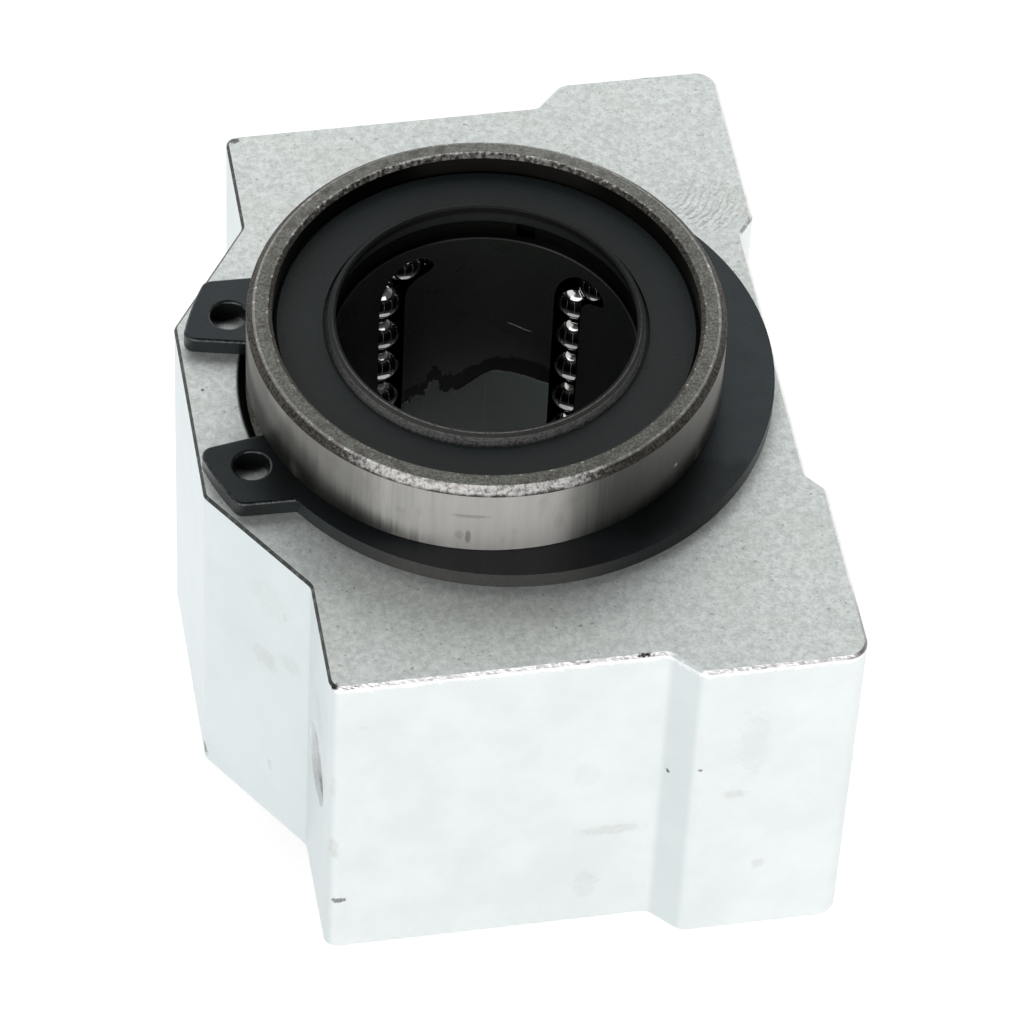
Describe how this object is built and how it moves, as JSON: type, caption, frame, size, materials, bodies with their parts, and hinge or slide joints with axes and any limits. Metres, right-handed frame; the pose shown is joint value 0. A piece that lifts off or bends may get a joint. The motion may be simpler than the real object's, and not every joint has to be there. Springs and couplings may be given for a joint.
{
  "type": "linear bearing block",
  "caption": "Aluminium pillow block holding a sealed linear ball bushing between two circlips, for a round shaft; tapped mounting holes from below.",
  "frame": {"origin": "middle of the ball bushing, on the shaft's axis", "axes": "+Z along the shaft's axis, +X out of the mounting face, +Y across the block's width"},
  "size_m": [0.041, 0.054, 0.042],
  "materials": {
    "block_aluminium": "fine-milled, bare",
    "sleeve_steel": "ground",
    "cage_resin": "moulded, oily",
    "ball_steel": "polished",
    "seal_rubber": "matte",
    "ring_steel": "stamped",
    "circlip_steel": "phosphated, oiled spring steel"
  },
  "bodies": {
    "block_unit": {"housing": "block_aluminium", "bearing_sleeve": "sleeve_steel", "ball_cage": "cage_resin", "upper_end_ring": "ring_steel", "lower_end_ring": "ring_steel", "upper_seal": "seal_rubber", "lower_seal": "seal_rubber", "upper_circlip": "circlip_steel", "lower_circlip": "circlip_steel"},
    "circuit_1_loaded": {"circuit_1_loaded_balls": "ball_steel"},
    "circuit_1_return": {"circuit_1_return_balls": "ball_steel"},
    "circuit_1_upper_turn": {"circuit_1_upper_turn_balls": "ball_steel"},
    "circuit_1_lower_turn": {"circuit_1_lower_turn_balls": "ball_steel"},
    "circuit_2_loaded": {"circuit_2_loaded_balls": "ball_steel"},
    "circuit_2_return": {"circuit_2_return_balls": "ball_steel"},
    "circuit_2_upper_turn": {"circuit_2_upper_turn_balls": "ball_steel"},
    "circuit_2_lower_turn": {"circuit_2_lower_turn_balls": "ball_steel"},
    "circuit_3_loaded": {"circuit_3_loaded_balls": "ball_steel"},
    "circuit_3_return": {"circuit_3_return_balls": "ball_steel"},
    "circuit_3_upper_turn": {"circuit_3_upper_turn_balls": "ball_steel"},
    "circuit_3_lower_turn": {"circuit_3_lower_turn_balls": "ball_steel"},
    "circuit_4_loaded": {"circuit_4_loaded_balls": "ball_steel"},
    "circuit_4_return": {"circuit_4_return_balls": "ball_steel"},
    "circuit_4_upper_turn": {"circuit_4_upper_turn_balls": "ball_steel"},
    "circuit_4_lower_turn": {"circuit_4_lower_turn_balls": "ball_steel"},
    "circuit_5_loaded": {"circuit_5_loaded_balls": "ball_steel"},
    "circuit_5_return": {"circuit_5_return_balls": "ball_steel"},
    "circuit_5_upper_turn": {"circuit_5_upper_turn_balls": "ball_steel"},
    "circuit_5_lower_turn": {"circuit_5_lower_turn_balls": "ball_steel"}
  },
  "joints": [
    {"name": "circuit_1_loaded_slide", "type": "slide", "parent": "block_unit", "child": "circuit_1_loaded", "axis": [0, 0, 1], "range_m": [-0.0026, 0.00059]},
    {"name": "circuit_1_return_slide", "type": "slide", "parent": "block_unit", "child": "circuit_1_return", "axis": [0, 0, 1], "range_m": [-0.00059, 0.0026]},
    {"name": "circuit_1_upper_turn_hinge", "type": "hinge", "parent": "block_unit", "child": "circuit_1_upper_turn", "pos_m": [0.00978, 0.00661, 0.0126], "axis": [0.7083, 0.7059, 0], "range_deg": [-61.01, 13.85]},
    {"name": "circuit_1_lower_turn_hinge", "type": "hinge", "parent": "block_unit", "child": "circuit_1_lower_turn", "pos_m": [0.00978, 0.00661, -0.0126], "axis": [0.7083, 0.7059, 0], "range_deg": [-61.01, 13.85]},
    {"name": "circuit_2_loaded_slide", "type": "slide", "parent": "block_unit", "child": "circuit_2_loaded", "axis": [0, 0, 1], "range_m": [-0.0026, 0.00059]},
    {"name": "circuit_2_return_slide", "type": "slide", "parent": "block_unit", "child": "circuit_2_return", "axis": [0, 0, 1], "range_m": [-0.00059, 0.0026]},
    {"name": "circuit_2_upper_turn_hinge", "type": "hinge", "parent": "block_unit", "child": "circuit_2_upper_turn", "pos_m": [-0.00327, 0.01134, 0.0126], "axis": [-0.4525, 0.8918, 0], "range_deg": [-61.01, 13.85]},
    {"name": "circuit_2_lower_turn_hinge", "type": "hinge", "parent": "block_unit", "child": "circuit_2_lower_turn", "pos_m": [-0.00327, 0.01134, -0.0126], "axis": [-0.4525, 0.8918, 0], "range_deg": [-61.01, 13.85]},
    {"name": "circuit_3_loaded_slide", "type": "slide", "parent": "block_unit", "child": "circuit_3_loaded", "axis": [0, 0, 1], "range_m": [-0.0026, 0.00059]},
    {"name": "circuit_3_return_slide", "type": "slide", "parent": "block_unit", "child": "circuit_3_return", "axis": [0, 0, 1], "range_m": [-0.00059, 0.0026]},
    {"name": "circuit_3_upper_turn_hinge", "type": "hinge", "parent": "block_unit", "child": "circuit_3_upper_turn", "pos_m": [-0.0118, 0.0004, 0.0126], "axis": [-0.988, -0.1548, 0], "range_deg": [-61.01, 13.85]},
    {"name": "circuit_3_lower_turn_hinge", "type": "hinge", "parent": "block_unit", "child": "circuit_3_lower_turn", "pos_m": [-0.0118, 0.0004, -0.0126], "axis": [-0.988, -0.1548, 0], "range_deg": [-61.01, 13.85]},
    {"name": "circuit_4_loaded_slide", "type": "slide", "parent": "block_unit", "child": "circuit_4_loaded", "axis": [0, 0, 1], "range_m": [-0.0026, 0.00059]},
    {"name": "circuit_4_return_slide", "type": "slide", "parent": "block_unit", "child": "circuit_4_return", "axis": [0, 0, 1], "range_m": [-0.00059, 0.0026]},
    {"name": "circuit_4_upper_turn_hinge", "type": "hinge", "parent": "block_unit", "child": "circuit_4_upper_turn", "pos_m": [-0.00403, -0.0111, 0.0126], "axis": [-0.1581, -0.9874, 0], "range_deg": [-61.01, 13.85]},
    {"name": "circuit_4_lower_turn_hinge", "type": "hinge", "parent": "block_unit", "child": "circuit_4_lower_turn", "pos_m": [-0.00403, -0.0111, -0.0126], "axis": [-0.1581, -0.9874, 0], "range_deg": [-61.01, 13.85]},
    {"name": "circuit_5_loaded_slide", "type": "slide", "parent": "block_unit", "child": "circuit_5_loaded", "axis": [0, 0, 1], "range_m": [-0.0026, 0.00059]},
    {"name": "circuit_5_return_slide", "type": "slide", "parent": "block_unit", "child": "circuit_5_return", "axis": [0, 0, 1], "range_m": [-0.00059, 0.0026]},
    {"name": "circuit_5_upper_turn_hinge", "type": "hinge", "parent": "block_unit", "child": "circuit_5_upper_turn", "pos_m": [0.00931, -0.00726, 0.0126], "axis": [0.8902, -0.4555, 0], "range_deg": [-61.01, 13.85]},
    {"name": "circuit_5_lower_turn_hinge", "type": "hinge", "parent": "block_unit", "child": "circuit_5_lower_turn", "pos_m": [0.00931, -0.00726, -0.0126], "axis": [0.8902, -0.4555, 0], "range_deg": [-61.01, 13.85]}
  ],
  "couplings": [
    {"joint": "circuit_1_upper_turn_hinge", "follows": "circuit_1_loaded_slide", "rad_per_m": 409.5},
    {"joint": "circuit_1_lower_turn_hinge", "follows": "circuit_1_loaded_slide", "rad_per_m": 409.5},
    {"joint": "circuit_1_return_slide", "follows": "circuit_1_loaded_slide", "ratio": -1},
    {"joint": "circuit_2_upper_turn_hinge", "follows": "circuit_2_loaded_slide", "rad_per_m": 409.5},
    {"joint": "circuit_2_lower_turn_hinge", "follows": "circuit_2_loaded_slide", "rad_per_m": 409.5},
    {"joint": "circuit_2_return_slide", "follows": "circuit_2_loaded_slide", "ratio": -1},
    {"joint": "circuit_3_upper_turn_hinge", "follows": "circuit_3_loaded_slide", "rad_per_m": 409.5},
    {"joint": "circuit_3_lower_turn_hinge", "follows": "circuit_3_loaded_slide", "rad_per_m": 409.5},
    {"joint": "circuit_3_return_slide", "follows": "circuit_3_loaded_slide", "ratio": -1},
    {"joint": "circuit_4_upper_turn_hinge", "follows": "circuit_4_loaded_slide", "rad_per_m": 409.5},
    {"joint": "circuit_4_lower_turn_hinge", "follows": "circuit_4_loaded_slide", "rad_per_m": 409.5},
    {"joint": "circuit_4_return_slide", "follows": "circuit_4_loaded_slide", "ratio": -1},
    {"joint": "circuit_5_upper_turn_hinge", "follows": "circuit_5_loaded_slide", "rad_per_m": 409.5},
    {"joint": "circuit_5_lower_turn_hinge", "follows": "circuit_5_loaded_slide", "rad_per_m": 409.5},
    {"joint": "circuit_5_return_slide", "follows": "circuit_5_loaded_slide", "ratio": -1}
  ]
}
